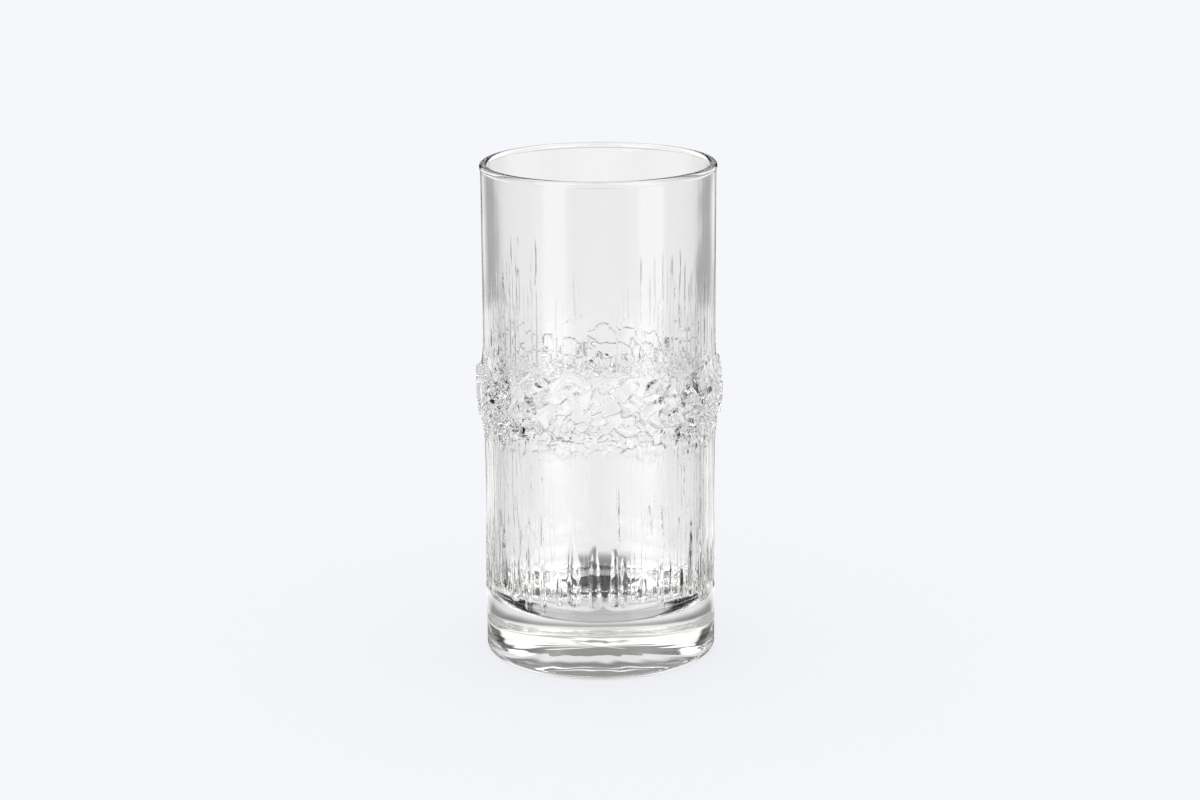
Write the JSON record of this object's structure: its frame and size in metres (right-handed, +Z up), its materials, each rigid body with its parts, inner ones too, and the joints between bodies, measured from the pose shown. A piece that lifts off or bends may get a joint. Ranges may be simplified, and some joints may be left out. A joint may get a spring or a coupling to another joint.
{
  "type": "tumbler",
  "caption": "Tall straight drinking glass of clear pressed glass with a thick base, fine upright ribs and a proud collar of icy lumps at mid height.",
  "frame": {"origin": "middle of the foot ring, on the surface that the glass stands on", "axes": "+Z up along the glass's axis and out of its mouth; +X and +Y across it, with no front or back"},
  "size_m": [0.0707, 0.0708, 0.142],
  "materials": {
    "glass": "clear and fire polished, with a moulded relief on the outside"
  },
  "bodies": {
    "root": {"glass_tumbler": "glass"}
  },
  "joints": []
}
